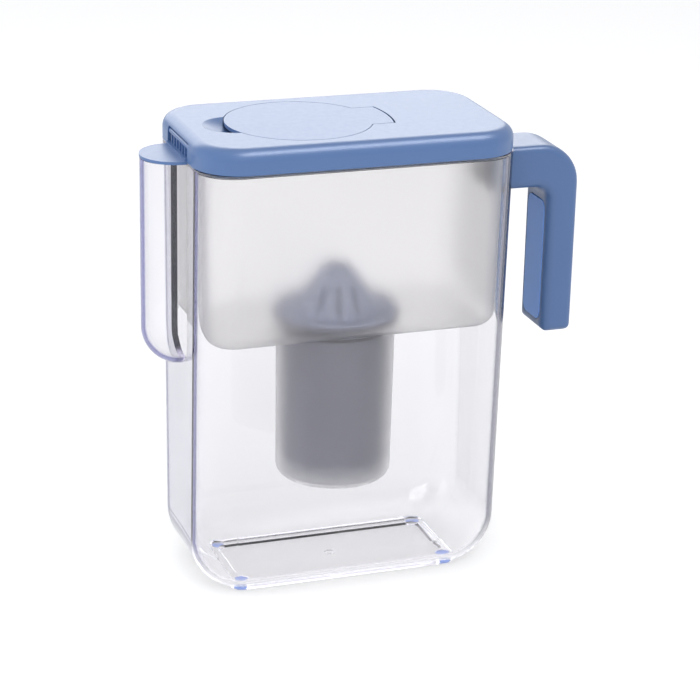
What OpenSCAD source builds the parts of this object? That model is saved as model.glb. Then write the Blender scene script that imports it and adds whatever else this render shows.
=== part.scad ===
// Water filter pitcher with a flip lid.
// Millimetres, +Z up, the feet stand on z = 0, the spout points to -X and the handle to +X.

/* [Jug body] */
// Half length of the clear jug wall, spout side to handle side
jug_half_len = 93.4; // [88:0.1:100]
// Half depth of the jug at its base, before the edge rounding
jug_half_depth = 46; // [44:0.1:50]
// Lean of the front and back walls
jug_draft = 1.71; // [1.2:0.01:1.9]
// Rounding of the long edges around the front and back walls
jug_edge_r = 22; // [18:0.1:24]
// Rounding of the two lower ends seen from the front
jug_end_r = 31; // [28:0.1:36]
// Thickness of the clear jug wall and floor
jug_wall = 3.2; // [2.8:0.1:3.6]
// Height of the jug rim above the table
rim_z = 258.2; // [240:0.1:280]
// Height of the base above the table, which the feet bridge
base_lift = 1.73; // [1.5:0.01:2.4]
// Width of the ledge in the rim that carries the reservoir
rebate_w = 1.4; // [1.2:0.1:1.6]
// Depth of the ledge in the rim that carries the reservoir
rebate_h = 2; // [1.8:0.1:4]

/* [Pouring trough] */
// Half width of the pouring trough
trough_half_w = 17.2; // [15:0.1:18]
// Reach of the trough in front of the end wall
trough_reach = 21.9; // [20:0.1:24]
// Wall thickness of the trough
trough_wall = 2.4; // [2:0.1:3]
// Height of the trough from its lowest point to the jug rim
trough_h = 123.1; // [113:0.1:133]
// Drop of the trough lip below the jug rim
lip_drop = 1.3; // [1:0.1:2]

/* [Base] */
// Half length of the low plinth under the jug
plinth_half_len = 69.5; // [66:0.1:71]
// Half width of the low plinth under the jug
plinth_half_w = 32.6; // [30:0.1:34]
// Corner radius of the plinth
plinth_r = 6.5; // [6:0.1:7]
// Height of the plinth above the table, which the feet bridge
plinth_z = 0.4; // [0.3:0.05:1]
// Thickness of the floor inside the plinth
plinth_t = 2.4; // [2:0.1:2.8]
// Half length of the sunken panel in the jug floor
pan_half_len = 66; // [60:0.1:67]
// Half width of the sunken panel in the jug floor
pan_half_w = 25; // [20:0.1:25.5]
// Corner radius of the sunken panel
pan_r = 6.5; // [4:0.1:9]
// Width of the slope around the sunken panel
pan_slope = 2.4; // [1:0.1:3]
// Distance of each foot from the middle along the jug
foot_x = 63.5; // [60:0.1:64]
// Distance of each foot from the middle across the jug
foot_y = 27; // [26:0.1:27.2]
// Radius of a foot pad
foot_r = 4.5; // [3.5:0.1:4.8]

/* [Handle] */
// Drop of the top of the handle arm below the jug rim
arm_drop = 6; // [4:0.1:10]
// Height of the handle arm
arm_h = 25.8; // [22:0.1:27]
// Gap for the fingers between the jug and the grip
finger_gap = 32; // [28:0.1:34]
// Depth of the grip from its inner to its outer face
grip_d = 19; // [16:0.1:21]
// Length of the grip below the arm
grip_len = 89.7; // [80:0.1:100]
// Half width of the handle across the jug
handle_half_w = 18; // [17:0.1:20]
// Outer bend radius of the handle
bend_r = 24; // [22:0.1:24.4]
// Rounding of the outer long edges of the handle
handle_edge_r = 4; // [3.8:0.1:5]
// Rounding of the inner long edges of the handle
grip_edge_r = 6; // [4:0.1:6.5]
// Bevel of the lower end of the grip
grip_bevel = 2.6; // [1.5:0.1:3.4]
// Radius in the corner between arm and grip
inner_bend_r = 8; // [7:0.1:9]
// Thickness of the cover plate let into the grip
cover_t = 2; // [1.6:0.1:2.4]
// Corner radius of the cover plate
cover_r = 5; // [3:0.1:6]
// Distance of the cover plate from the lower end of the grip
cover_up = 6; // [4:0.1:10]
// Wall left around the hollow of the grip
grip_wall = 2.6; // [2:0.1:3.2]
// Thickness of the ribs across the hollow of the grip
grip_rib_t = 1.6; // [1.2:0.1:2]
// Half width of the rail on the jug that carries the handle
rail_half = 9; // [7:0.1:10]
// Half width of the stem between the jug and the rail
stem_half = 5; // [4:0.1:6]
// Distance of the rail from the jug wall
rail_out = 3; // [2.6:0.1:4]
// Thickness of the rail
rail_t = 2.6; // [2:0.1:3]

/* [Reservoir] */
// Space between the reservoir mouth and the jug wall at both ends
res_end_gap = 1.6; // [1.2:0.1:4]
// Space between the reservoir mouth and the jug wall at front and back
res_side_gap = 2.1; // [1.2:0.1:4]
// Inward lean of the reservoir walls over their height
res_taper = 1.7; // [1:0.1:2.2]
// Corner radius of the reservoir mouth outside
res_r = 18; // [16.5:0.1:18.6]
// Height of the reservoir from the underside of its floor to its top
res_h = 104.4; // [98:0.1:110]
// Rounding between reservoir walls and floor
res_foot_r = 10; // [7:0.1:12]
// Wall thickness of the reservoir
res_wall = 2; // [1.6:0.1:2.4]
// Thickness of the reservoir floor
res_floor_t = 2.2; // [1.8:0.1:2.8]

/* [Filter socket and cartridge] */
// Position of the filter axis along the jug
filter_x = 0.7; // [-4:0.1:4]
// Outside radius of the filter socket at the reservoir floor
socket_r_top = 34.8; // [33:0.1:37]
// Outside radius of the filter socket near its lower end
socket_r_low = 34.1; // [32.5:0.1:36]
// Length of the filter socket below the reservoir floor
socket_h = 96.8; // [74:0.1:100]
// Wall thickness of the filter socket
socket_wall = 2; // [1.6:0.1:2.4]
// Rounding of the lower edge of the filter socket
socket_foot_r = 5; // [3:0.1:7]
// Radius of the outlet in the floor of the socket
outlet_r = 22; // [18:0.1:24]
// Width of a drain notch in the lower rim of the socket
notch_w = 15; // [10:0.1:16]
// Wall thickness of the cartridge housing
cart_wall = 1.6; // [1.2:0.1:2]
// Thickness of the cartridge floor
cart_floor_t = 2; // [1.6:0.1:2.4]
// Space around the lower end of the cartridge in its socket
cart_gap = 0.7; // [0.5:0.05:1]
// Width of an outlet slot in the cartridge floor
outlet_slot_w = 2.4; // [1.6:0.1:3]
// Spacing of the outlet slots
outlet_pitch = 4.4; // [4:0.1:5]
// Radius of the cross section of the seal ring
seal_r = 1; // [0.8:0.05:1.1]
// Radius of the collar that rests on the reservoir floor
collar_r = 36.6; // [36:0.1:40]
// Thickness of the cartridge collar
collar_t = 2.2; // [1.8:0.1:2.6]
// Height of the cartridge cap above its collar
cap_h = 28.8; // [22:0.1:36]
// Radius of the rounded tip of the cartridge cap
cap_tip_r = 14; // [12:0.1:16]
// Base radius of the cone of the cartridge cap
cap_base_r = 27; // [25:0.1:28]
// Wall thickness of the cartridge cap
cap_wall = 1.6; // [1.2:0.1:2.2]
// Number of intake slots around the cap
cap_slots = 12; // [6:1:16]

/* [Lid] */
// Overhang of the lid past the ends of the jug
lid_over_end = 0.6; // [0.4:0.1:2]
// Overhang of the lid past the front and back of the jug
lid_over_side = 1.3; // [0.6:0.1:2]
// Plan corner radius of the lid
lid_r = 26.5; // [25:0.1:28]
// Height of the lid from skirt edge to top
lid_h = 14; // [13.6:0.1:16]
// Rounding of the upper edge of the lid
lid_edge_r = 7; // [5:0.1:8]
// Thickness of the lid skirt
skirt_t = 2; // [1.8:0.1:2.2]
// Thickness of the lid top
lid_top_t = 2.2; // [2:0.1:2.6]
// Position of the middle of the flip flap along the lid
flap_x = -23.5; // [-26:0.1:-21]
// Radius of the seat cut for the flip flap
seat_r = 42.5; // [40:0.1:42.8]
// Radius of the fill hole under the flip flap
fill_r = 34; // [30:0.1:35]
// Half width of the hinge tab of the flip flap
tab_half_w = 18; // [15:0.1:19]
// Length of the hinge tab pocket past the flap seat
tab_len = 11.5; // [10.5:0.1:12.5]
// Plan radius of the rounded end of the hinge tab
tab_end_r = 80; // [60:1:90]
// Distance of the middle of the finger recess inside the edge of the flap seat
recess_in = 4.5; // [3:0.1:6]
// Plan radius of the finger recess
recess_r = 17.6; // [16:0.1:18]
// Depth of the finger recess
recess_d = 4.3; // [3.6:0.1:4.4]

/* [Flaps] */
// Thickness of the top of the flip flap
flap_t = 2; // [1.8:0.1:2.2]
// Height of the flip flap with its rim
flap_h = 4.2; // [4:0.1:4.4]
// Radius of the hinge pins of the flip flap
pin_r = 1.2; // [1:0.05:1.3]
// Half width of the spout flap
spout_half_w = 20; // [18.5:0.1:21]
// Overhang of the spout flap past the lip of the trough
spout_over = 0.1; // [0:0.1:2]
// Height of the spout flap hinge above the jug rim
spout_hinge_up = 8.2; // [6:0.1:8.6]
// Thickness of the spout flap
spout_t = 1.7; // [1.4:0.1:1.8]
// Radius of the hinge pins of the spout flap
spout_pin_r = 1; // [0.8:0.05:1.1]

/* [Fits] */
// Gap left between seated pieces
seat_gap = 0.4; // [0.3:0.05:0.5]
// Gap left between fixed pieces of one body
fix_gap = 0.1; // [0.05:0.01:0.2]
// Gap around the end of the hinge tab, which swings down as the flap opens
tab_gap_end = 1.1; // [1:0.1:1.4]
// Radial clearance of the hinge pins in their holes
pin_gap = 0.06; // [0.03:0.01:0.1]

/* [Hidden] */
$fn = 96;
eps = 0.01;

// Sizes that follow from the jug
jug_in_len = jug_half_len - jug_wall;
rim_half_depth = jug_half_depth / cos(jug_draft) + (rim_z - base_lift) * tan(jug_draft);
trough_foot_z = rim_z - trough_h;
arm_top_z = rim_z - arm_drop;
arm_low_z = arm_top_z - arm_h;
grip_in_x = jug_half_len + finger_gap;
grip_out_x = grip_in_x + grip_d;
grip_foot_z = arm_low_z - grip_len;
res_half_len = jug_in_len - res_end_gap;
res_half_depth = rim_half_depth - jug_wall - res_side_gap;
res_floor_z = rim_z - res_h;
socket_foot_z = res_floor_z - socket_h;
lid_half_len = jug_half_len + lid_over_end;
lid_half_depth = rim_half_depth + lid_over_side;
spout_reach = jug_half_len + trough_reach + spout_over;
tab_end_x = flap_x + seat_r + tab_len;
recess_x = flap_x - seat_r + recess_in;

// All shapes are drawn about the middle of the lid, then moved by this much along X, so that
// the origin is the middle of the whole part from the lip of the spout flap to the grip
frame_x = (spout_reach - grip_out_x) / 2;

// Jug
floor_z = base_lift + jug_wall;
pan_z = plinth_z + plinth_t;
rebate_z = rim_z - rebate_h;
rebate_half_len = jug_in_len + rebate_w;
rebate_half_depth = rim_half_depth - jug_wall + rebate_w;
rebate_r = jug_edge_r - jug_wall + rebate_w;

// Trough: a plane just inside the end wall is the centre of its rounded foot
trough_x = -(jug_half_len - 0.4);
trough_u = trough_reach + 0.4;
trough_flat = trough_u - trough_half_w;
trough_z = trough_foot_z + trough_u;
trough_in_half = trough_half_w - trough_wall;
lip_z = rim_z - lip_drop;

// Feet
foot_top = plinth_z + 1.5;
foot_pocket_r = foot_r + 0.3;
foot_pocket_z = foot_top + 0.3;

// Handle
bend_x = grip_out_x - bend_r;
bend_z = arm_top_z - bend_r;
fillet_x = grip_in_x - inner_bend_r;
fillet_z = arm_low_z - inner_bend_r;
grip_end_z = grip_foot_z;
root_x = jug_half_len + fix_gap;
rail_x = jug_half_len + rail_out;
rail_out_x = rail_x + rail_t;
rail_low_z = arm_low_z + 2.5;
rail_top_z = arm_top_z - 4;
cover_half_w = handle_half_w - grip_edge_r - 0.4;
cover_low_z = grip_foot_z + cover_up;
cover_top_z = arm_low_z - inner_bend_r - cover_t;

// Reservoir
flange_top = rim_z;
flange_low = rebate_z + seat_gap;
flange_half_len = rebate_half_len - seat_gap;
flange_half_depth = rebate_half_depth - seat_gap;
flange_r = rebate_r - seat_gap;
res_floor_top = res_floor_z + res_floor_t;
socket_len = res_floor_z - socket_foot_z;
socket_in_top = socket_r_top - socket_wall;
socket_in_low = socket_r_low - socket_wall;
socket_floor_z = socket_foot_z + 2.4;

// Cartridge
cart_low = socket_floor_z + seat_gap;
collar_z = res_floor_top + seat_gap;
collar_top = collar_z + collar_t;
cart_r_top = socket_in_top - cart_gap - 0.2;
cart_r_low = socket_in_low - cart_gap;
media_low = cart_low + cart_floor_t + 2;
media_top = res_floor_z - 2;
seal_gap = 0.35;
seal_z = res_floor_z - 4 * seal_r;
seal_mid = socket_in_top - seal_gap - seal_r;
cap_low = collar_top + fix_gap;
cap_top_z = cap_low + cap_h;

// Lid
skirt_z = rim_z + seat_gap;
lid_top_z = skirt_z + lid_h;
lid_in_z = lid_top_z - lid_top_t;
ledge_z = lid_top_z - flap_h - seat_gap;
ledge_t = 2;
seat_wall = 1.6;
plug_half_len = res_half_len - res_wall - 0.6;
plug_half_depth = res_half_depth - res_wall - 0.6;
plug_r = res_r - res_wall - 0.6;
plug_t = 1.3;
plug_z = rim_z - 2.7;
recess_sphere = (recess_r * recess_r + recess_d * recess_d) / (2 * recess_d);
rib_y = lid_half_depth - lid_edge_r;
rib_z = lid_top_z - lid_edge_r;
rib_r = lid_edge_r - 1.2;
lid_rib_x = 0.58 * plug_half_len;

// Flip flap hinge: the tail of the tab swings down into the pocket as the flap opens, so the
// axis lies far enough inside the shortest side of the tab and the pocket is as deep as its tail
barrel_r = 2;
tab_gap = 0.5;
tab_out_x = tab_end_x - tab_gap_end;
tab_side_x = tab_out_x - tab_end_r + sqrt(tab_end_r * tab_end_r - tab_half_w * tab_half_w);
hinge_z = lid_top_z - flap_t - 0.2;
hinge_x = tab_side_x - barrel_r - 0.75;
tail_x = tab_out_x - hinge_x;
tail_z = lid_top_z - hinge_z;
pocket_z = hinge_z - sqrt(tail_x * tail_x + tail_z * tail_z) - seat_gap;
flap_r = seat_r - tab_gap;

// Spout flap hinge
spout_hinge_x = -(lid_half_len - skirt_t);
spout_hinge_z = rim_z + spout_hinge_up;
spout_barrel_r = spout_pin_r + 0.5;
spout_low = lip_z + seat_gap;
notch_half = spout_half_w + seat_gap;
notch_top = spout_hinge_z + spout_barrel_r + 1.1;
cheek_t = 3;

// ---------- shared shapes ----------

// Solid with straight sides and quarter-turned corners; the child is the corner profile
module corner_sweep(hl, hd, rc, zlo, zhi) {
  cx = hl - rc;
  cy = hd - rc;
  for (k = [0 : 3]) {
    sx = (k == 0 || k == 3) ? 1 : -1;
    sy = (k < 2) ? 1 : -1;
    translate([sx * cx, sy * cy, 0])
      rotate([0, 0, 90 * k])
        rotate_extrude(angle = 90)
          children();
  }
  translate([-cx, 0, 0])
    rotate([90, 0, 90])
      linear_extrude(2 * cx) {
        translate([cy, 0]) children();
        mirror([1, 0]) translate([cy, 0]) children();
        translate([-cy, zlo]) square([2 * cy, zhi - zlo]);
      }
  for (s = [0, 1])
    mirror([s, 0, 0])
      translate([0, cy, 0])
        rotate([90, 0, 0])
          linear_extrude(2 * cy)
            translate([cx, 0]) children();
}

// Upright prism with a rounded rectangle as its plan
module round_prism(hl, hd, rc, zlo, zhi) {
  corner_sweep(hl, hd, rc, zlo, zhi)
    translate([0, zlo]) square([rc, zhi - zlo]);
}

// Slab whose border slopes from one width at its underside to another at its top
module sloped_slab(hl, hd, rc, zlo, zhi, wlo, whi) {
  corner_sweep(hl, hd, rc, zlo, zhi)
    polygon([[0, zlo], [rc + wlo, zlo], [rc + whi, zhi], [0, zhi]]);
}

// Half plane profile with one lower outer corner rounded
module low_round(w, h, r) {
  translate([0, r]) square([w, h - r]);
  square([w - r, r]);
  intersection() {
    translate([w - r, r]) circle(r);
    translate([w - r, 0]) square([r, r]);
  }
}

// ---------- jug ----------

// Front half of the jug shape: walls, floor and the swept rounding between them
module jug_half(a, b, re, r1, h) {
  inset = 12;
  w = b + inset;
  translate([-(a - r1), inset, 0])
    rotate([90, 0, 90])
      linear_extrude(2 * (a - r1))
        mirror([1, 0])
          low_round(w, h, re);
  for (s = [0, 1])
    mirror([s, 0, 0]) {
      translate([a - r1, inset, r1])
        linear_extrude(h - r1)
          mirror([0, 1])
            end_profile(r1, w, re);
      translate([a - r1, inset, r1])
        rotate([-90, 0, 0])
          rotate_extrude(angle = 90)
            mirror([0, 1])
              end_profile(r1, w, re);
    }
}

// Rectangle with its far outer corner rounded, used upright and swept
module end_profile(w, d, r) {
  square([w, d - r]);
  translate([0, d - r - eps]) square([w - r, r + eps]);
  intersection() {
    translate([w - r, d - r]) circle(r);
    translate([w - r - eps, d - r - eps]) square([r + 2 * eps, r + 2 * eps]);
  }
}

module jug_shell_half() {
  intersection() {
    translate([0, 0, base_lift])
      rotate([jug_draft, 0, 0])
        difference() {
          jug_half(jug_half_len, jug_half_depth, jug_edge_r, jug_end_r, rim_z + 20);
          translate([0, 0, jug_wall])
            jug_half(jug_half_len - jug_wall, jug_half_depth - jug_wall,
              jug_edge_r - jug_wall, jug_end_r - jug_wall, rim_z + 30);
        }
    translate([-2 * jug_half_len, -2 * jug_half_depth, -10])
      cube([4 * jug_half_len, 2 * jug_half_depth, rim_z + 10]);
  }
}

// Plan of the trough, measured away from the end wall
module trough_plan(flat, r) {
  translate([0, -r]) square([flat, 2 * r]);
  intersection() {
    translate([flat, 0]) circle(r);
    translate([flat, -r]) square([r, 2 * r]);
  }
}

// Upright trough with a foot turned about a level axis
module trough_solid(r, top) {
  translate([trough_x, 0, trough_z])
    mirror([1, 0, 0]) {
      linear_extrude(top - trough_z) trough_plan(trough_flat, r);
      rotate([-90, 0, 0])
        rotate_extrude(angle = 90)
          trough_plan(trough_flat, r);
    }
}

module jug() {
  color([0.86, 0.9, 0.93, 0.35]) translate([frame_x, 0, 0])
    difference() {
      union() {
        jug_shell_half();
        mirror([0, 1, 0]) jug_shell_half();
        trough_solid(trough_half_w, lip_z);
        // plinth that the feet are let into
        sloped_slab(plinth_half_len, plinth_half_w, plinth_r, plinth_z, floor_z - 1.3, 0, 0.5);
        // rail that carries the handle
        translate([jug_half_len - 1, -stem_half, rail_low_z])
          cube([rail_x - jug_half_len + 1.5, 2 * stem_half, rail_top_z - rail_low_z]);
        translate([rail_x, -rail_half, rail_low_z])
          cube([rail_out_x - rail_x, 2 * rail_half, rail_top_z - rail_low_z]);
      }
      // channel inside the trough, open to the jug
      trough_solid(trough_in_half, rim_z + 5);
      translate([trough_x - eps, 0, trough_z])
        rotate([90, 0, 90])
          linear_extrude(jug_wall + 1) {
            translate([-trough_in_half, -eps]) square([2 * trough_in_half, trough_h]);
            rotate([0, 0, -90]) trough_plan(trough_flat, trough_in_half);
          }
      // ledge for the reservoir
      round_prism(rebate_half_len, rebate_half_depth, rebate_r, rebate_z, rim_z + 5);
      // sunken panel in the floor, and the gate mark under it
      sloped_slab(pan_half_len - pan_slope, pan_half_w - pan_slope, pan_r - pan_slope,
        pan_z, floor_z + 0.6, 0, pan_slope);
      difference() {
        translate([0, 0, plinth_z - 1]) cylinder(r = 3.2, h = 1.7);
        translate([0, 0, plinth_z - 2]) cylinder(r = 1.3, h = 4);
      }
      // foot pockets
      for (sx = [-1, 1])
        for (sy = [-1, 1])
          translate([sx * foot_x, sy * foot_y, -2])
            cylinder(r = foot_pocket_r, h = foot_pocket_z + 2);
    }
}

module foot_pads() {
  color([0.35, 0.48, 0.75]) translate([frame_x, 0, 0])
    for (sx = [-1, 1])
      for (sy = [-1, 1])
        translate([sx * foot_x, sy * foot_y, 0]) {
          cylinder(r1 = foot_r - 0.5, r2 = foot_r, h = 0.5);
          translate([0, 0, 0.5]) cylinder(r = foot_r, h = foot_top - 0.5);
        }
}

// ---------- handle ----------

// Strip with its outer long corners rounded, drawn outwards and across
module edge_strip(r) {
  w = handle_half_w;
  translate([-eps, -w]) square([eps, 2 * w]);
  translate([-eps, -(w - r)]) square([r + eps, 2 * (w - r)]);
  for (s = [-1, 1])
    intersection() {
      translate([0, s * (w - r)]) circle(r);
      translate([0, s > 0 ? w - r : -w]) square([r, r]);
    }
}

// Side outline of the handle inside all of its edge roundings
module handle_core() {
  ro = handle_edge_r;
  ri = grip_edge_r;
  difference() {
    union() {
      translate([root_x, arm_low_z + ri])
        square([bend_x - root_x, arm_top_z - ro - arm_low_z - ri]);
      translate([grip_in_x + ri, grip_end_z])
        square([grip_out_x - ro - grip_in_x - ri, bend_z - grip_end_z]);
      intersection() {
        translate([bend_x, bend_z]) circle(bend_r - ro);
        translate([bend_x, bend_z]) square([bend_r, bend_r]);
      }
      translate([fillet_x, fillet_z])
        square([grip_in_x + ri - fillet_x, arm_low_z + ri - fillet_z]);
    }
    intersection() {
      translate([fillet_x, fillet_z]) circle(inner_bend_r + ri);
      translate([fillet_x, fillet_z]) square([inner_bend_r + ri, inner_bend_r + ri]);
    }
  }
}

module handle_outer() {
  ro = handle_edge_r;
  ri = grip_edge_r;
  translate([0, handle_half_w, 0])
    rotate([90, 0, 0])
      linear_extrude(2 * handle_half_w) handle_core();
  // outer edge: along the arm, round the bend and down the grip
  translate([root_x, 0, arm_top_z - ro])
    rotate([90, 0, 90])
      linear_extrude(bend_x - root_x)
        rotate([0, 0, 90]) edge_strip(ro);
  translate([bend_x, 0, bend_z])
    rotate([90, 0, 0])
      rotate_extrude(angle = 90)
        translate([bend_r - ro, 0]) edge_strip(ro);
  translate([grip_out_x - ro, 0, grip_end_z])
    linear_extrude(bend_z - grip_end_z) edge_strip(ro);
  // inner edge: under the arm, through the fillet and down the grip
  translate([root_x, 0, arm_low_z + ri])
    rotate([90, 0, 90])
      linear_extrude(fillet_x - root_x)
        rotate([0, 0, -90]) edge_strip(ri);
  translate([fillet_x, 0, fillet_z])
    rotate([90, 0, 0])
      rotate_extrude(angle = 90)
        translate([inner_bend_r + ri, 0]) mirror([1, 0]) edge_strip(ri);
  translate([grip_in_x + ri, 0, grip_end_z])
    linear_extrude(fillet_z - grip_end_z)
      mirror([1, 0]) edge_strip(ri);
}

// Wedges that bevel the lower end of the grip
module grip_bevels() {
  k = grip_bevel;
  mx = (grip_in_x + grip_out_x) / 2;
  for (s = [-1, 1]) {
    hx = (grip_out_x - grip_in_x) / 2;
    translate([mx, 2 * handle_half_w, grip_foot_z])
      rotate([90, 0, 0])
        linear_extrude(4 * handle_half_w)
          polygon([[s * (hx - k), -1], [s * (hx - k), 0], [s * hx, k], [s * (hx + 2), k],
            [s * (hx + 2), -1]]);
    hy = handle_half_w;
    translate([grip_in_x - grip_d / 2, 0, grip_foot_z])
      rotate([90, 0, 90])
        linear_extrude(2 * grip_d)
          polygon([[s * (hy - k), -1], [s * (hy - k), 0], [s * hy, k], [s * (hy + 2), k],
            [s * (hy + 2), -1]]);
  }
}

// Rounded plate shape standing in the grip
module cover_shape(grow, x0, x1) {
  hw = cover_half_w + grow;
  zm = (cover_low_z + cover_top_z) / 2;
  hz = (cover_top_z - cover_low_z) / 2 + grow;
  translate([x0, 0, zm])
    rotate([0, 90, 0])
      round_prism(hz, hw, cover_r + grow, 0, x1 - x0);
}

module handle_shell() {
  color([0.36, 0.5, 0.78]) translate([frame_x, 0, 0])
    difference() {
      handle_outer();
      grip_bevels();
      // seat of the cover plate and the hollow behind it
      cover_shape(fix_gap, grip_in_x - grip_edge_r, grip_in_x + cover_t + fix_gap);
      difference() {
        cover_shape(-1.5, grip_in_x + 1, grip_out_x - grip_wall);
        for (k = [1 : 3])
          translate([grip_in_x, -2 * handle_half_w,
            cover_low_z + k * (cover_top_z - cover_low_z) / 4 - grip_rib_t / 2])
            cube([2 * grip_d, 4 * handle_half_w, grip_rib_t]);
      }
      // slot that slides over the jug rail
      translate([rail_x - fix_gap, -(rail_half + fix_gap), arm_low_z - 1])
        cube([rail_out_x - rail_x + 3 * fix_gap, 2 * (rail_half + fix_gap),
          rail_top_z + fix_gap - arm_low_z + 1]);
      translate([root_x - 1, -(stem_half + fix_gap), arm_low_z - 1])
        cube([rail_x - root_x + 1.5, 2 * (stem_half + fix_gap),
          rail_top_z + fix_gap - arm_low_z + 1]);
    }
}

module handle_cover() {
  color([0.4, 0.54, 0.82]) translate([frame_x, 0, 0])
    cover_shape(0, grip_in_x, grip_in_x + cover_t);
}

// ---------- reservoir ----------

// Corner profile of the tapered reservoir, from the corner axis outwards
module res_profile(rt, rl, zlo, zhi, rf) {
  polygon([[0, zlo + rf], [rl, zlo + rf], [rt, zhi], [0, zhi]]);
  translate([0, zlo]) square([rl - rf, rf + eps]);
  intersection() {
    translate([rl - rf, zlo + rf]) circle(rf);
    translate([rl - rf - eps, zlo]) square([rf + eps, rf + eps]);
  }
}

module socket_outside() {
  translate([filter_x, 0, 0])
    rotate_extrude() {
      rl = socket_r_low;
      rf = socket_foot_r;
      z0 = socket_foot_z;
      polygon([[0, z0 + rf], [rl, z0 + rf], [socket_r_top, res_floor_z + 1], [0, res_floor_z + 1]]);
      translate([0, z0]) square([rl - rf, rf + eps]);
      intersection() {
        translate([rl - rf, z0 + rf]) circle(rf);
        translate([rl - rf - eps, z0]) square([rf + eps, rf + eps]);
      }
    }
}

module reservoir() {
  rl = res_r - res_taper;
  color([0.95, 0.95, 0.96, 0.6]) translate([frame_x, 0, 0])
    difference() {
      union() {
        corner_sweep(res_half_len, res_half_depth, res_r, res_floor_z, flange_top)
          res_profile(res_r, rl, res_floor_z, flange_top, res_foot_r);
        round_prism(flange_half_len, flange_half_depth, flange_r, flange_low, flange_top);
        socket_outside();
        // collar under the floor
        translate([filter_x, 0, res_floor_z - 2])
          cylinder(r = socket_r_top + 1.4, h = 3);
      }
      corner_sweep(res_half_len - res_wall, res_half_depth - res_wall, res_r - res_wall,
        res_floor_top, flange_top + 2)
        res_profile(res_r - res_wall, rl - res_wall, res_floor_top, flange_top + 2,
          res_foot_r - res_floor_t);
      // bore of the socket
      translate([filter_x, 0, socket_floor_z])
        cylinder(r1 = socket_in_low, r2 = socket_in_top, h = res_floor_z - socket_floor_z);
      translate([filter_x, 0, res_floor_z - eps])
        cylinder(r = socket_in_top, h = 5);
      translate([filter_x, 0, socket_foot_z - 1])
        cylinder(r = outlet_r, h = 6);
      // drain notches in the lower rim
      for (k = [0 : 5])
        translate([filter_x, 0, socket_foot_z])
          rotate([0, 0, 250.4 + 60 * k])
            translate([outlet_r - 3, -notch_w / 2, -1])
              cube([socket_r_low - outlet_r + 8, notch_w, 2.2]);
    }
}

// ---------- cartridge ----------

module cartridge_housing() {
  h = collar_z - cart_low;
  color([0.9, 0.91, 0.92]) translate([frame_x + filter_x, 0, 0])
      difference() {
        union() {
          translate([0, 0, cart_low]) cylinder(r1 = cart_r_low, r2 = cart_r_top, h = h + 1);
          translate([0, 0, collar_z]) cylinder(r = collar_r, h = collar_t);
        }
        translate([0, 0, cart_low + cart_floor_t])
          cylinder(r1 = cart_r_low - cart_wall, r2 = cart_r_top - cart_wall, h = h - cart_floor_t);
        translate([0, 0, collar_z - eps])
          cylinder(r = cart_r_top - cart_wall, h = collar_t + 1);
        // groove of the seal ring
        translate([0, 0, seal_z])
          rotate_extrude()
            translate([seal_mid - seal_r - 0.15, -seal_r - 0.15])
              square([5, 2 * seal_r + 0.3]);
        // outlet slots in the floor
        intersection() {
          translate([0, 0, cart_low - 1]) cylinder(r = outlet_r - 2, h = 5);
          for (k = [-4 : 4])
            translate([-2 * outlet_r, outlet_pitch * k - outlet_slot_w / 2, cart_low - 1])
              cube([4 * outlet_r, outlet_slot_w, cart_floor_t + 3]);
        }
      }
}

module cartridge_seal() {
  color([0.45, 0.47, 0.5]) translate([frame_x + filter_x, 0, seal_z])
      rotate_extrude()
        translate([seal_mid, 0]) circle(seal_r);
}

module outlet_screen() {
  color([0.93, 0.93, 0.9]) translate([frame_x + filter_x, 0, cart_low + cart_floor_t + fix_gap])
      cylinder(r = cart_r_low - cart_wall - 0.4, h = 1.6);
}

module filter_media() {
  z0 = media_low;
  color([0.2, 0.2, 0.22]) translate([frame_x + filter_x, 0, z0])
      cylinder(r1 = cart_r_low - cart_wall - 0.3, r2 = cart_r_top - cart_wall - 0.5,
        h = media_top - z0);
}

module inlet_screen() {
  color([0.93, 0.93, 0.9]) translate([frame_x + filter_x, 0, media_top + fix_gap])
      cylinder(r = cart_r_top - cart_wall - 0.4, h = 1.6);
}

// Outer shape of the cap, turned about the filter axis
module cap_profile(off, low) {
  rt = cap_tip_r - off;
  zt = cap_top_z - cap_tip_r;
  // the cone leaves the tip where both share a tangent
  tx = rt * 0.855;
  tz = zt + rt * 0.518;
  slope = (cap_base_r - cap_tip_r * 0.855) / (zt + cap_tip_r * 0.518 - cap_low);
  br = tx + slope * (tz - low);
  polygon([[0, low], [br, low], [tx, tz], [0, tz]]);
  intersection() {
    translate([0, zt]) circle(rt);
    translate([0, tz - eps]) square([rt + 1, rt]);
  }
}

module cartridge_cap() {
  color([0.62, 0.68, 0.82]) translate([frame_x + filter_x, 0, 0])
      difference() {
        union() {
          rotate_extrude() cap_profile(0, cap_low);
          translate([0, 0, cap_low]) cylinder(r = collar_r - 0.8, h = 1.8);
          translate([0, 0, cap_low - 4])
            cylinder(r = cart_r_top - cart_wall - 0.2, h = 4.5);
        }
        rotate_extrude() cap_profile(cap_wall, cap_low - 1);
        translate([0, 0, cap_low - 5])
          cylinder(r = cart_r_top - cart_wall - 1.8, h = 5 + eps);
        // intake slots
        for (k = [0 : cap_slots - 1])
          rotate([0, 0, (k + 0.5) * 360 / cap_slots])
            translate([6, -1.1, cap_low + 4])
              cube([40, 2.2, 14]);
      }
}

// ---------- lid ----------

// Profile of the lid from its corner axis outwards, upper edge rounded
module lid_profile(r, zlo, zhi, re) {
  translate([0, zlo]) square([r, zhi - zlo - re]);
  translate([0, zhi - re - eps]) square([r - re, re + eps]);
  intersection() {
    translate([r - re, zhi - re]) circle(re);
    translate([r - re - eps, zhi - re - eps]) square([re + eps, re + eps]);
  }
}

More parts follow.
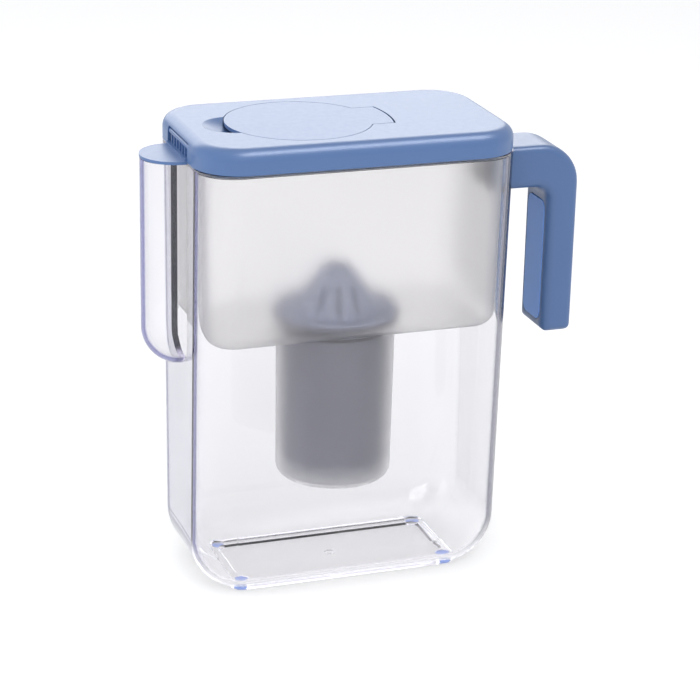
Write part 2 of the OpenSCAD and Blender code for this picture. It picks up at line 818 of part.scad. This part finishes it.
// Plan of the hinge tab, grown for its pocket
module tab_plan(half_w, end_x) {
  intersection() {
    translate([flap_x + 20, -half_w]) square([60, 2 * half_w]);
    translate([end_x - tab_end_r, 0]) circle(tab_end_r);
  }
}

module lid() {
  pocket_half = tab_half_w + tab_gap;
  color([0.6, 0.7, 0.9]) translate([frame_x, 0, 0])
    difference() {
      union() {
        difference() {
          corner_sweep(lid_half_len, lid_half_depth, lid_r, skirt_z, lid_top_z)
            lid_profile(lid_r, skirt_z, lid_top_z, lid_edge_r);
          corner_sweep(lid_half_len - skirt_t, lid_half_depth - skirt_t, lid_r - skirt_t,
            skirt_z - 2, lid_in_z)
            lid_profile(lid_r - skirt_t, skirt_z - 2, lid_in_z, lid_edge_r - skirt_t);
        }
        // flap seat with its ledge and the collar of the fill hole
        translate([flap_x, 0, ledge_z - ledge_t])
          cylinder(r = seat_r + seat_wall, h = lid_in_z - ledge_z + ledge_t + 0.5);
        translate([flap_x, 0, ledge_z - ledge_t - 3.5])
          cylinder(r = fill_r + 2, h = 5);
        // hinge pocket
        translate([0, 0, pocket_z - 2])
          linear_extrude(lid_in_z - pocket_z + 2.5)
            tab_plan(pocket_half + 2.6, tab_end_x + 2);
        // underside of the finger recess
        intersection() {
          translate([recess_x, 0, lid_top_z + recess_sphere - recess_d])
            sphere(r = recess_sphere + 2);
          translate([recess_x, 0, lid_in_z - 6]) cylinder(r = recess_r + 0.8, h = 6.4);
        }
        // plug ring that centres the lid in the reservoir
        difference() {
          round_prism(plug_half_len, plug_half_depth, plug_r, plug_z, lid_in_z + 0.5);
          round_prism(plug_half_len - plug_t, plug_half_depth - plug_t, plug_r - plug_t,
            plug_z - 1, lid_in_z + 1);
        }
        // ribs between plug ring and skirt, ending inside the rounded edge
        for (x = [-lid_rib_x, 0, lid_rib_x])
          for (s = [0, 1])
            mirror([0, s, 0])
              translate([x - 0.7, 0, 0])
                rotate([90, 0, 90])
                  linear_extrude(1.4)
                    polygon([[plug_half_depth - 0.5, skirt_z + 3], [rib_y + rib_r, skirt_z + 3],
                      [rib_y + rib_r, rib_z], [rib_y + 0.7 * rib_r, rib_z + 0.7 * rib_r],
                      [rib_y, rib_z + rib_r - 0.4], [plug_half_depth - 0.5, rib_z + rib_r - 0.4]]);
        // cheeks that carry the spout flap
        for (s = [0, 1])
          mirror([0, s, 0])
            translate([-(lid_half_len - 1.5), notch_half, skirt_z])
              cube([4.4, cheek_t, notch_top - skirt_z - 0.5]);
      }
      // seat, hinge pocket and fill hole
      translate([flap_x, 0, ledge_z]) cylinder(r = seat_r, h = 20);
      translate([0, 0, pocket_z])
        linear_extrude(20) tab_plan(pocket_half, tab_end_x);
      translate([flap_x, 0, skirt_z - 5]) cylinder(r = fill_r, h = 30);
      translate([recess_x, 0, lid_top_z + recess_sphere - recess_d])
        sphere(r = recess_sphere);
      // notch in the skirt for the spout flap
      translate([-(lid_half_len + 5), -notch_half, skirt_z - 5])
        cube([10, 2 * notch_half, notch_top - skirt_z + 5]);
      // hinge holes
      for (s = [0, 1])
        mirror([0, s, 0]) {
          translate([hinge_x, pocket_half - 1, hinge_z])
            rotate([-90, 0, 0]) cylinder(r = pin_r + pin_gap, h = 3.4);
          translate([spout_hinge_x, notch_half - 1, spout_hinge_z])
            rotate([-90, 0, 0]) cylinder(r = spout_pin_r + pin_gap, h = 3.4);
        }
    }
}

module fill_flap() {
  color([0.62, 0.72, 0.92]) translate([frame_x, 0, 0])
    difference() {
      union() {
        // disc with a turned-down rim
        difference() {
          translate([flap_x, 0, lid_top_z - flap_h]) cylinder(r = flap_r, h = flap_h);
          translate([flap_x, 0, lid_top_z - flap_h - 1])
            cylinder(r = flap_r - 1.8, h = flap_h - flap_t + 1);
        }
        // ring that dips into the fill hole
        difference() {
          translate([flap_x, 0, ledge_z - 2]) cylinder(r = fill_r - 0.9, h = lid_top_z - ledge_z + 1.5);
          translate([flap_x, 0, ledge_z - 3])
            cylinder(r = fill_r - 2.3, h = lid_top_z - flap_t - ledge_z + 3);
        }
        // hinge tab and barrel
        translate([0, 0, lid_top_z - flap_t])
          linear_extrude(flap_t) tab_plan(tab_half_w, tab_out_x);
        translate([hinge_x, tab_half_w, hinge_z])
          rotate([90, 0, 0]) cylinder(r = barrel_r, h = 2 * tab_half_w);
        translate([hinge_x, tab_half_w + 2.1, hinge_z])
          rotate([90, 0, 0]) cylinder(r = pin_r, h = 2 * tab_half_w + 4.2);
        // ribs under the tab
        for (y = [-12, 0, 12])
          translate([flap_x + flap_r - 4, y - 0.7, lid_top_z - flap_h + 0.4])
            cube([hinge_x - flap_x - flap_r + 4, 1.4, flap_h - 1]);
      }
      // finger clearance in the rim
      translate([recess_x, 0, lid_top_z - flap_h - 5])
        cylinder(r = 15, h = flap_h - flap_t + 5);
    }
}

module spout_flap() {
  r = spout_half_w;
  cx = -(spout_reach - r);
  inner_x = -(jug_half_len + 0.4);
  color([0.55, 0.66, 0.9]) translate([frame_x, 0, 0]) {
    // plate over the trough
    translate([0, 0, spout_low])
      linear_extrude(spout_t) {
        intersection() {
          translate([cx, 0]) circle(r);
          translate([cx - r, -r]) square([r, 2 * r]);
        }
        translate([cx - eps, -r]) square([inner_x - cx + eps, 2 * r]);
      }
    // riser up to the hinge barrel, on a thicker foot
    translate([spout_hinge_x - 3.3, -r, rim_z + 0.35])
      cube([3.7, 2 * r, 1.95]);
    translate([spout_hinge_x - 0.5, -r, rim_z + 2])
      cube([0.9, 1.75 * r, spout_hinge_z - rim_z - 2]);
    // ribs that stiffen the riser
    for (k = [0 : 6])
      translate([spout_hinge_x - spout_barrel_r, -r + k * 0.28 * r, rim_z + 2])
        cube([spout_barrel_r + 0.3, 1.2, spout_hinge_z - rim_z - 2]);
    translate([spout_hinge_x, r, spout_hinge_z])
      rotate([90, 0, 0]) cylinder(r = spout_barrel_r, h = 2 * r);
    translate([spout_hinge_x, r + 2.3, spout_hinge_z])
      rotate([90, 0, 0]) cylinder(r = spout_pin_r, h = 2 * r + 4.6);
    // drip rib on the underside
    translate([-(jug_half_len + 0.27 * trough_reach), -(trough_in_half - 3), spout_low - 1.2])
      cube([1.4, 2 * (trough_in_half - 3), 1.6]);
  }
}

jug();
foot_pads();
handle_shell();
handle_cover();
reservoir();
cartridge_housing();
cartridge_seal();
outlet_screen();
filter_media();
inlet_screen();
cartridge_cap();
lid();
fill_flap();
spout_flap();
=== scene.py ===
import bpy
from mathutils import Matrix, Vector

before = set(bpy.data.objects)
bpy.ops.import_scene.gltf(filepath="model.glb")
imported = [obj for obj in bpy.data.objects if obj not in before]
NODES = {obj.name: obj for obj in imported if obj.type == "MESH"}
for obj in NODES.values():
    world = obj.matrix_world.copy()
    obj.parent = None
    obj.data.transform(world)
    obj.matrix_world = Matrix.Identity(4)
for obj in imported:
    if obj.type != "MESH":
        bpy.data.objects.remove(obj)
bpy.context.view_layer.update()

MM = 0.001


# ---------- camera ----------

SENSOR_MM = 36.0
LENS_MM = 121.0589
CLIP = (0.05, 50.0)
CAMERA_RIGHT = (0.9444932, -0.3278132, 0.0217045)
CAMERA_UP = (0.0948315, 0.3352885, 0.9373306)
CAMERA_BACK = (-0.3145466, -0.8832441, 0.3477647)
CAMERA_AT = (-0.4397638, -1.2240036, 0.6130429)

# clear and frosted walls one behind another need long light paths
ALL_BOUNCES = 32
CLEAR_BOUNCES = 32
MIRROR_BOUNCES = 16


def make_camera():
    """Camera at the photograph's place, standard colours, long light paths."""
    scene = bpy.context.scene
    cam = bpy.data.cameras.new("camera")
    cam.sensor_width = SENSOR_MM
    cam.lens = LENS_MM
    cam.clip_start, cam.clip_end = CLIP
    ob = bpy.data.objects.new("camera", cam)
    scene.collection.objects.link(ob)
    turn = Matrix((CAMERA_RIGHT, CAMERA_UP, CAMERA_BACK)).transposed().to_4x4()
    turn.translation = Vector(CAMERA_AT)
    ob.matrix_world = turn
    scene.camera = ob
    scene.view_settings.view_transform = "Standard"
    scene.cycles.max_bounces = ALL_BOUNCES
    scene.cycles.transmission_bounces = CLEAR_BOUNCES
    scene.cycles.glossy_bounces = MIRROR_BOUNCES


make_camera()


# ---------- material helpers ----------

# most of a noise lies between these two values
NOISE_LOW, NOISE_HIGH = 0.3, 0.7
UNIT = (0.0, 1.0)


def new_mat(name):
    """Material with one Principled shader: the material, its tree, the shader, the output."""
    m = bpy.data.materials.new(name)
    m.use_nodes = True
    nt = m.node_tree
    nt.nodes.clear()
    out = nt.nodes.new("ShaderNodeOutputMaterial")
    bsdf = nt.nodes.new("ShaderNodeBsdfPrincipled")
    nt.links.new(bsdf.outputs["BSDF"], out.inputs["Surface"])
    return m, nt, bsdf, out


def coords(nt, scale=(1.0, 1.0, 1.0)):
    """Object coordinates, in metres times the scale."""
    tc = nt.nodes.new("ShaderNodeTexCoord")
    mp = nt.nodes.new("ShaderNodeMapping")
    mp.inputs["Scale"].default_value = scale
    nt.links.new(tc.outputs["Object"], mp.inputs["Vector"])
    return mp.outputs["Vector"]


def axes(nt, vec):
    """The X, Y and Z of a vector."""
    parts = nt.nodes.new("ShaderNodeSeparateXYZ")
    nt.links.new(vec, parts.inputs["Vector"])
    return parts.outputs["X"], parts.outputs["Y"], parts.outputs["Z"]


def calc(nt, operation, *values, clamp=False):
    """Math node. Each value is a number or another node's output."""
    node = nt.nodes.new("ShaderNodeMath")
    node.operation = operation
    node.use_clamp = clamp
    for socket, value in zip(node.inputs, values):
        if isinstance(value, (int, float)):
            socket.default_value = value
        else:
            nt.links.new(value, socket)
    return node.outputs[0]


def noise(nt, vec, scale, detail, rough=0.5):
    """Noise with its scale per metre."""
    n = nt.nodes.new("ShaderNodeTexNoise")
    n.inputs["Scale"].default_value = scale
    n.inputs["Detail"].default_value = detail
    n.inputs["Roughness"].default_value = rough
    nt.links.new(vec, n.inputs["Vector"])
    return n.outputs["Fac"]


def remap(nt, value, source, result):
    """Straight line from the source range to the result range, clamped at both ends."""
    r = nt.nodes.new("ShaderNodeMapRange")
    r.inputs["From Min"].default_value, r.inputs["From Max"].default_value = source
    r.inputs["To Min"].default_value, r.inputs["To Max"].default_value = result
    nt.links.new(value, r.inputs["Value"])
    return r.outputs["Result"]


def ramp(nt, value, stops):
    """Colour ramp through stops of (position, colour)."""
    r = nt.nodes.new("ShaderNodeValToRGB")
    ends = r.color_ramp.elements
    ends[0].position, ends[0].color = stops[0][0], (*stops[0][1], 1)
    ends[1].position, ends[1].color = stops[-1][0], (*stops[-1][1], 1)
    for position, colour in stops[1:-1]:
        ends.new(position).color = (*colour, 1)
    nt.links.new(value, r.inputs["Fac"])
    return r.outputs["Color"]


def bump(nt, bsdf, height, strength, depth, below=None):
    """Bump on the shader, on top of the one below if that is given."""
    b = nt.nodes.new("ShaderNodeBump")
    b.inputs["Strength"].default_value = strength
    b.inputs["Distance"].default_value = depth
    nt.links.new(height, b.inputs["Height"])
    if below is not None:
        nt.links.new(below, b.inputs["Normal"])
    nt.links.new(b.outputs["Normal"], bsdf.inputs["Normal"])
    return b.outputs["Normal"]


def drifting_colour(nt, bsdf, height, low, high):
    """Base colour that drifts between two colours with a noise."""
    nt.links.new(ramp(nt, height, [(NOISE_LOW, low), (NOISE_HIGH, high)]),
                 bsdf.inputs["Base Color"])


def drifting_gloss(nt, bsdf, vec, scale, low, high):
    """Roughness that drifts between two values with a fine noise."""
    fine = noise(nt, vec, scale, detail=4, rough=0.6)
    nt.links.new(remap(nt, fine, (NOISE_LOW, NOISE_HIGH), (low, high)), bsdf.inputs["Roughness"])


def tint(colour, k):
    """The colour times k, at most white."""
    return tuple(min(1.0, x * k) for x in colour)


# ---------- moulded plastic ----------

MOULDED_DRIFT = 0.012
MOULDED_GLOSS_SWING = 0.02


def moulded(name, colour, rough, ior=1.5):
    """Injection moulded plastic: slow colour drift, uneven gloss, fine grain, slow wave."""
    m, nt, bsdf, _ = new_mat(name)
    vec = coords(nt)
    bsdf.inputs["IOR"].default_value = ior
    drifting_colour(nt, bsdf, noise(nt, vec, scale=18, detail=2),
                    tint(colour, 1 - MOULDED_DRIFT), tint(colour, 1 + MOULDED_DRIFT))
    drifting_gloss(nt, bsdf, vec, 260, rough - MOULDED_GLOSS_SWING, rough + MOULDED_GLOSS_SWING)
    grain = bump(nt, bsdf, noise(nt, vec, scale=2600, detail=2), strength=0.12, depth=0.02 * MM)
    bump(nt, bsdf, noise(nt, vec, scale=40, detail=1), strength=0.03, depth=0.03 * MM,
         below=grain)
    return m


# ---------- clear plastic ----------

# Zones of the clear jug, as ranges in metres over which an effect fades in or out: heights
# above the table, distances from the middle plane, and X with the trough at its low end.
INNER_HEIGHT = (0.006, 0.03)
PANEL_HEIGHT = (0.008, 0.02)
PANEL_SIDE = (0.030, 0.034)
FOOT_HEIGHT = (0.003, 0.011)
FOOT_SIDE = (0.0435, 0.0465)
PLATE_HEIGHT = (0.010, 0.014)
TROUGH_X = (-0.112, -0.098)

# painted shade by how far the wall turns away from the viewer, 0 for not at all; then its share
# on the sunken panel, and the extra painted shade in the rounded foot
EDGE_PAINTED_SHADE = [(0.0, (0.965, 0.962, 0.972)), (0.55, (0.955, 0.952, 0.962)),
             (0.70, (0.86, 0.86, 0.87)), (0.86, (0.56, 0.57, 0.60)), (1.0, (0.09, 0.09, 0.13))]
SLANT_ON_PANEL = 0.55
FOOT_EXTRA = 0.72

# painted shade where light runs inside the wall, dark blue towards the trough, and how much of
# it is left at the base
INNER_PAINTED_SHADE = (0.07, 0.068, 0.10)
TROUGH_PAINTED_SHADE = (0.045, 0.045, 0.19)
INNER_AT_BASE = 0.5

# painted glow in the base plate, for light caught in it: the mirrorings it takes, its strength
# and its colour
CAUGHT_DEPTH = (1, 2)
PAINTED_CAUGHT_GLOW = 0.3
CAUGHT_COLOUR = (0.95, 0.95, 1.0, 1)


def edge_shade_weight(nt, side, height):
    """How much painted edge shade the clear wall takes: by how far it turns away from the
    viewer, less on the sunken floor panel, and more in the rounded foot of the walls."""
    weight = nt.nodes.new("ShaderNodeLayerWeight")
    weight.inputs["Blend"].default_value = 0.5
    off_panel = calc(nt, "MAXIMUM", remap(nt, height, PANEL_HEIGHT, UNIT),
                     remap(nt, side, PANEL_SIDE, UNIT))
    slant = calc(nt, "MULTIPLY", weight.outputs["Facing"],
                 remap(nt, off_panel, UNIT, (SLANT_ON_PANEL, 1.0)))
    foot = calc(nt, "MULTIPLY", remap(nt, height, FOOT_HEIGHT, (FOOT_EXTRA, 0.0)),
                remap(nt, side, FOOT_SIDE, UNIT))
    return calc(nt, "ADD", slant, foot)


def clear_plastic(name, absorb, density, ior=1.53):
    """Clear wall: painted shade towards its edges and where light runs inside it, a painted glow
    in the base plate, slow mould wave.
    """
    m, nt, bsdf, out = new_mat(name)
    vec = coords(nt)
    bsdf.inputs["Transmission Weight"].default_value = 1.0
    bsdf.inputs["IOR"].default_value = ior
    bsdf.inputs["Roughness"].default_value = 0.0
    bump(nt, bsdf, noise(nt, vec, scale=9, detail=1), strength=0.08, depth=0.1 * MM)
    x, y, z = axes(nt, vec)
    rays = nt.nodes.new("ShaderNodeLightPath")
    geometry = nt.nodes.new("ShaderNodeNewGeometry")
    # A ray runs inside the wall when it was mirrored and meets the wall's far side. One that
    # went straight through counts as glossy too, so those are taken off.
    mirrored = calc(nt, "SUBTRACT", rays.outputs["Is Glossy Ray"],
                    rays.outputs["Is Transmission Ray"], clamp=True)
    inside = calc(nt, "MULTIPLY", mirrored, geometry.outputs["Backfacing"])
    inner_shade = calc(nt, "MULTIPLY", inside, remap(nt, z, INNER_HEIGHT, (INNER_AT_BASE, 1.0)))
    slant = edge_shade_weight(nt, calc(nt, "ABSOLUTE", y), z)
    # base colour: painted shade towards the edges, and darker painted shade (dark blue at the
    # trough) where a ray runs inside the wall
    mix = nt.nodes.new("ShaderNodeMix")
    mix.data_type = "RGBA"
    nt.links.new(inner_shade, mix.inputs["Factor"])
    nt.links.new(ramp(nt, slant, EDGE_PAINTED_SHADE), mix.inputs["A"])
    nt.links.new(ramp(nt, remap(nt, x, TROUGH_X, UNIT), [(0.0, TROUGH_PAINTED_SHADE), (1.0, INNER_PAINTED_SHADE)]),
                 mix.inputs["B"])
    nt.links.new(mix.outputs["Result"], bsdf.inputs["Base Color"])
    # painted glow for light that stays caught in the base plate: a few mirrorings, then an even
    # pale glow
    caught = calc(nt, "MULTIPLY",
                  remap(nt, rays.outputs["Glossy Depth"], CAUGHT_DEPTH, (0.0, PAINTED_CAUGHT_GLOW)),
                  remap(nt, z, PLATE_HEIGHT, (1.0, 0.0)))
    bsdf.inputs["Emission Color"].default_value = CAUGHT_COLOUR
    nt.links.new(caught, bsdf.inputs["Emission Strength"])
    m.cycles.emission_sampling = "NONE"
    vol = nt.nodes.new("ShaderNodeVolumeAbsorption")
    vol.inputs["Color"].default_value = (*absorb, 1)
    vol.inputs["Density"].default_value = density
    nt.links.new(vol.outputs["Volume"], out.inputs["Volume"])
    return m


# ---------- frosted plastic, filter medium, fleece, cartridge ----------

FROST_DRIFT = 0.992
FROST_GLOSS_SWING = 0.04
FLEECE_DRIFT = 0.8

# heights over which the cartridge's empty lower rim gives way to the filter medium
RIM_HEIGHT = (0.0615, 0.074)
RIM_WAVE = 0.16
CARTRIDGE_ROUGH = (0.42, 0.52)


def frosted_plastic(name, colour, rough, transmit, ior=1.45):
    """Milky plastic that lets light through and blurs what is behind it."""
    m, nt, bsdf, _ = new_mat(name)
    vec = coords(nt)
    bsdf.inputs["Transmission Weight"].default_value = transmit
    bsdf.inputs["IOR"].default_value = ior
    drifting_colour(nt, bsdf, noise(nt, vec, scale=12, detail=2), tint(colour, FROST_DRIFT),
                    colour)
    drifting_gloss(nt, bsdf, vec, 120, rough - FROST_GLOSS_SWING, rough + FROST_GLOSS_SWING)
    grain = bump(nt, bsdf, noise(nt, vec, scale=1800, detail=2), strength=0.15, depth=0.02 * MM)
    bump(nt, bsdf, noise(nt, vec, scale=20, detail=1), strength=0.2, depth=0.1 * MM,
         below=grain)
    return m


def granules(name, dark, light):
    """Loose grains about a millimetre across, each of its own shade."""
    m, nt, bsdf, _ = new_mat(name)
    grains = nt.nodes.new("ShaderNodeTexVoronoi")
    grains.inputs["Scale"].default_value = 900
    nt.links.new(coords(nt), grains.inputs["Vector"])
    shade = nt.nodes.new("ShaderNodeSeparateColor")
    nt.links.new(grains.outputs["Color"], shade.inputs["Color"])
    nt.links.new(ramp(nt, shade.outputs["Red"], [(0.0, dark), (1.0, light)]),
                 bsdf.inputs["Base Color"])
    bsdf.inputs["Roughness"].default_value = 0.8
    bump(nt, bsdf, grains.outputs["Distance"], strength=0.9, depth=0.6 * MM)
    return m


def fleece(name, colour):
    """Felted fibres that lie along X and Z."""
    m, nt, bsdf, _ = new_mat(name)
    fibres = noise(nt, coords(nt, (1, 3, 1)), scale=700, detail=5, rough=0.7)
    drifting_colour(nt, bsdf, fibres, tint(colour, FLEECE_DRIFT), colour)
    bsdf.inputs["Roughness"].default_value = 0.9
    bsdf.inputs["Sheen Weight"].default_value = 0.3
    felt = noise(nt, coords(nt), scale=900, detail=5, rough=0.7)
    bump(nt, bsdf, felt, strength=0.6, depth=0.3 * MM)
    return m


def cartridge_shell(name, body, rim):
    """Milky shell: dark where the filter medium backs it, lighter at the empty lower rim."""
    m, nt, bsdf, _ = new_mat(name)
    vec = coords(nt)
    _, _, z = axes(nt, vec)
    level = calc(nt, "MULTIPLY_ADD", noise(nt, vec, scale=60, detail=2), RIM_WAVE,
                 remap(nt, z, RIM_HEIGHT, UNIT))
    nt.links.new(ramp(nt, level, [(0.05, rim), (0.9, tint(body, 1.04)), (1.0, body)]),
                 bsdf.inputs["Base Color"])
    drifting_gloss(nt, bsdf, vec, 220, *CARTRIDGE_ROUGH)
    bump(nt, bsdf, noise(nt, vec, scale=1500, detail=2), strength=0.15, depth=0.02 * MM)
    return m


# ---------- materials on the nodes ----------

BLUE = (0.082, 0.160, 0.350)
mat_lid = moulded("lid_blue", BLUE, rough=0.34)
mat_flap = moulded("flap_blue", tint(BLUE, 1.02), rough=0.35)
mat_handle = moulded("handle_blue", tint(BLUE, 0.92), rough=0.33)
# the cover on the grip's inner side takes 2.5 times the blue: painted light for the light that
# falls on that face
mat_cover_painted_light = moulded("cover_blue_painted_light", tint(BLUE, 2.5), rough=0.42, ior=1.3)
mat_clear = clear_plastic("clear_plastic", absorb=(0.78, 0.77, 0.80), density=30.0)
mat_frost = frosted_plastic("frosted_plastic", (1.0, 0.993, 0.985), rough=0.42, transmit=1.0,
                            ior=1.2)
mat_house = cartridge_shell("cartridge_grey", body=(0.30, 0.305, 0.375), rim=(0.72, 0.73, 0.78))
mat_cap = moulded("cap_blue_grey", (0.60, 0.64, 0.80), rough=0.45)
mat_seal = moulded("seal_rubber", (0.12, 0.125, 0.14), rough=0.6)
mat_foot = frosted_plastic("foot_rubber", (0.24, 0.38, 0.84), rough=0.30, transmit=0.85)
mat_media = granules("carbon_granules", dark=(0.012, 0.012, 0.014), light=(0.09, 0.09, 0.10))
mat_fleece = fleece("white_fleece", (0.82, 0.82, 0.79))

ASSIGN = {
    "jug": mat_clear,
    "foot_pads": mat_foot,
    "handle_shell": mat_handle,
    "handle_cover": mat_cover_painted_light,
    "reservoir": mat_frost,
    "cartridge_housing": mat_house,
    "cartridge_seal": mat_seal,
    "outlet_screen": mat_fleece,
    "filter_media": mat_media,
    "inlet_screen": mat_fleece,
    "cartridge_cap": mat_cap,
    "lid": mat_lid,
    "fill_flap": mat_flap,
    "spout_flap": mat_flap,
}
for node_name, mat in ASSIGN.items():
    slots = NODES[node_name].data.materials
    slots.clear()
    slots.append(mat)


# ---------- softened edges ----------

SOFT_VOXEL = 0.6 * MM
SOFT_FACTOR = 0.5
SOFT_ROUNDS = 36


def soften(node_name):
    """Rounds every mould edge of a CAD node: a fine remesh, then an even smoothing."""
    modifiers = NODES[node_name].modifiers
    mesh = modifiers.new("fine_mesh", "REMESH")
    mesh.mode = "VOXEL"
    mesh.voxel_size = SOFT_VOXEL
    mesh.use_smooth_shade = True
    edge = modifiers.new("mould_edge", "SMOOTH")
    edge.factor = SOFT_FACTOR
    edge.iterations = SOFT_ROUNDS


soften("handle_shell")


# ---------- light ----------

WHITE = (1.0, 1.0, 1.0)
COOL_WHITE = (0.97, 0.98, 1.0)
WORLD_SOFT = 0.6

# which rays don't meet a lamp: a sheen lamp only shows on top, edges and end, and a fill lamp
# only lights
PLAIN = {"visible_transmission": False}
SHEEN = {"visible_transmission": False, "visible_diffuse": False}
FILL = {"visible_glossy": False}

# name, place, aim, width and height in metres, watts, colour, rays
LAMPS = [
    ("key_top", (-0.25, 0.15, 1.35), (0, 0, 0.15), (1.4, 1.2), 1.5, WHITE, PLAIN),
    ("back_box", (0.15, 1.6, 0.95), (0, 0, 0.25), (1.8, 1.0), 15, COOL_WHITE, SHEEN),
    ("strip_top", (0.30, -0.42, 1.25), (0, 0, 0.25), (0.9, 0.5), 13, WHITE, SHEEN),
    ("fill_front", (-0.35, -1.55, 1.15), (0, 0, 0.12), (1.4, 1.4), 15, WHITE, FILL),
    ("side_left", (-1.6, 0.35, 0.6), (0, 0, 0.15), (1.0, 1.0), 8, WHITE, FILL),
    ("side_right", (1.5, -0.35, 0.55), (0, 0, 0.15), (1.0, 1.0), 4, WHITE, FILL),
]


def make_lamp(name, place, aim, size, watts, colour, rays):
    """Soft box that the camera doesn't see."""
    lamp = bpy.data.lights.new(name, "AREA")
    lamp.shape = "RECTANGLE"
    lamp.size, lamp.size_y = size
    lamp.energy = watts
    lamp.color = colour
    ob = bpy.data.objects.new(name, lamp)
    bpy.context.scene.collection.objects.link(ob)
    ob.location = place
    ob.rotation_euler = (Vector(aim) - Vector(place)).to_track_quat("-Z", "Y").to_euler()
    ob.visible_camera = False
    for flag, seen in rays.items():
        setattr(ob, flag, seen)


def seen_directly(nt):
    """1 for rays of the camera, of mirror images and through clear walls, 0 for other light."""
    rays = nt.nodes.new("ShaderNodeLightPath")
    seen = calc(nt, "MAXIMUM", rays.outputs["Is Camera Ray"], rays.outputs["Is Glossy Ray"])
    return calc(nt, "MAXIMUM", seen, rays.outputs["Is Transmission Ray"])


def make_world():
    """Soft light from all round, white where it is seen directly."""
    world = bpy.data.worlds.new("studio")
    bpy.context.scene.world = world
    world.use_nodes = True
    nt = world.node_tree
    nt.nodes.clear()
    out = nt.nodes.new("ShaderNodeOutputWorld")
    mix = nt.nodes.new("ShaderNodeMixShader")
    nt.links.new(seen_directly(nt), mix.inputs["Fac"])
    for slot, colour, strength in ((1, COOL_WHITE, WORLD_SOFT), (2, WHITE, 1.0)):
        light = nt.nodes.new("ShaderNodeBackground")
        light.inputs["Color"].default_value = (*colour, 1)
        light.inputs["Strength"].default_value = strength
        nt.links.new(light.outputs["Background"], mix.inputs[slot])
    nt.links.new(mix.outputs["Shader"], out.inputs["Surface"])


# ---------- floor ----------

FLOOR_HALF = 6.0
PAPER = (0.9, 0.9, 0.9, 1)
FLOOR_GLOW = 0.35
FLOOR_GLOW_THROUGH = 0.55

# the object's footprint as an ellipse, and the share of it where the extra glow fades out
FOOTPRINT_X, FOOTPRINT_Y = 0.095, 0.052
FOOTPRINT_FADE = (0.9, 1.5)


def make_floor():
    """Pale floor. Seen directly it is white paper: a glow tops up the lamps' light, and the
    object's shadow still shows. Through the clear walls the glow under the object is a little
    stronger, for the light that such walls would let through to the shaded floor."""
    mesh = bpy.data.meshes.new("floor")
    half = FLOOR_HALF
    corners = [(-half, -half, 0), (half, -half, 0), (half, half, 0), (-half, half, 0)]
    mesh.from_pydata(corners, [], [(0, 1, 2, 3)])
    ob = bpy.data.objects.new("floor", mesh)
    bpy.context.scene.collection.objects.link(ob)
    m, nt, bsdf, out = new_mat("floor_paper")
    bsdf.inputs["Base Color"].default_value = PAPER
    bsdf.inputs["Roughness"].default_value = 0.9
    bsdf.inputs["Specular IOR Level"].default_value = 0.1
    far = nt.nodes.new("ShaderNodeVectorMath")
    far.operation = "LENGTH"
    nt.links.new(coords(nt, (1 / FOOTPRINT_X, 1 / FOOTPRINT_Y, 1.0)), far.inputs[0])
    rays = nt.nodes.new("ShaderNodeLightPath")
    extra = calc(nt, "MULTIPLY", rays.outputs["Is Transmission Ray"],
                 remap(nt, far.outputs["Value"], FOOTPRINT_FADE,
                       (FLOOR_GLOW_THROUGH - FLOOR_GLOW, 0.0)))
    strength = calc(nt, "MULTIPLY", seen_directly(nt), calc(nt, "ADD", extra, FLOOR_GLOW))
    glow = nt.nodes.new("ShaderNodeEmission")
    nt.links.new(strength, glow.inputs["Strength"])
    add = nt.nodes.new("ShaderNodeAddShader")
    nt.links.new(bsdf.outputs["BSDF"], add.inputs[0])
    nt.links.new(glow.outputs["Emission"], add.inputs[1])
    nt.links.new(add.outputs["Shader"], out.inputs["Surface"])
    mesh.materials.append(m)


for row in LAMPS:
    make_lamp(*row)
make_world()
make_floor()
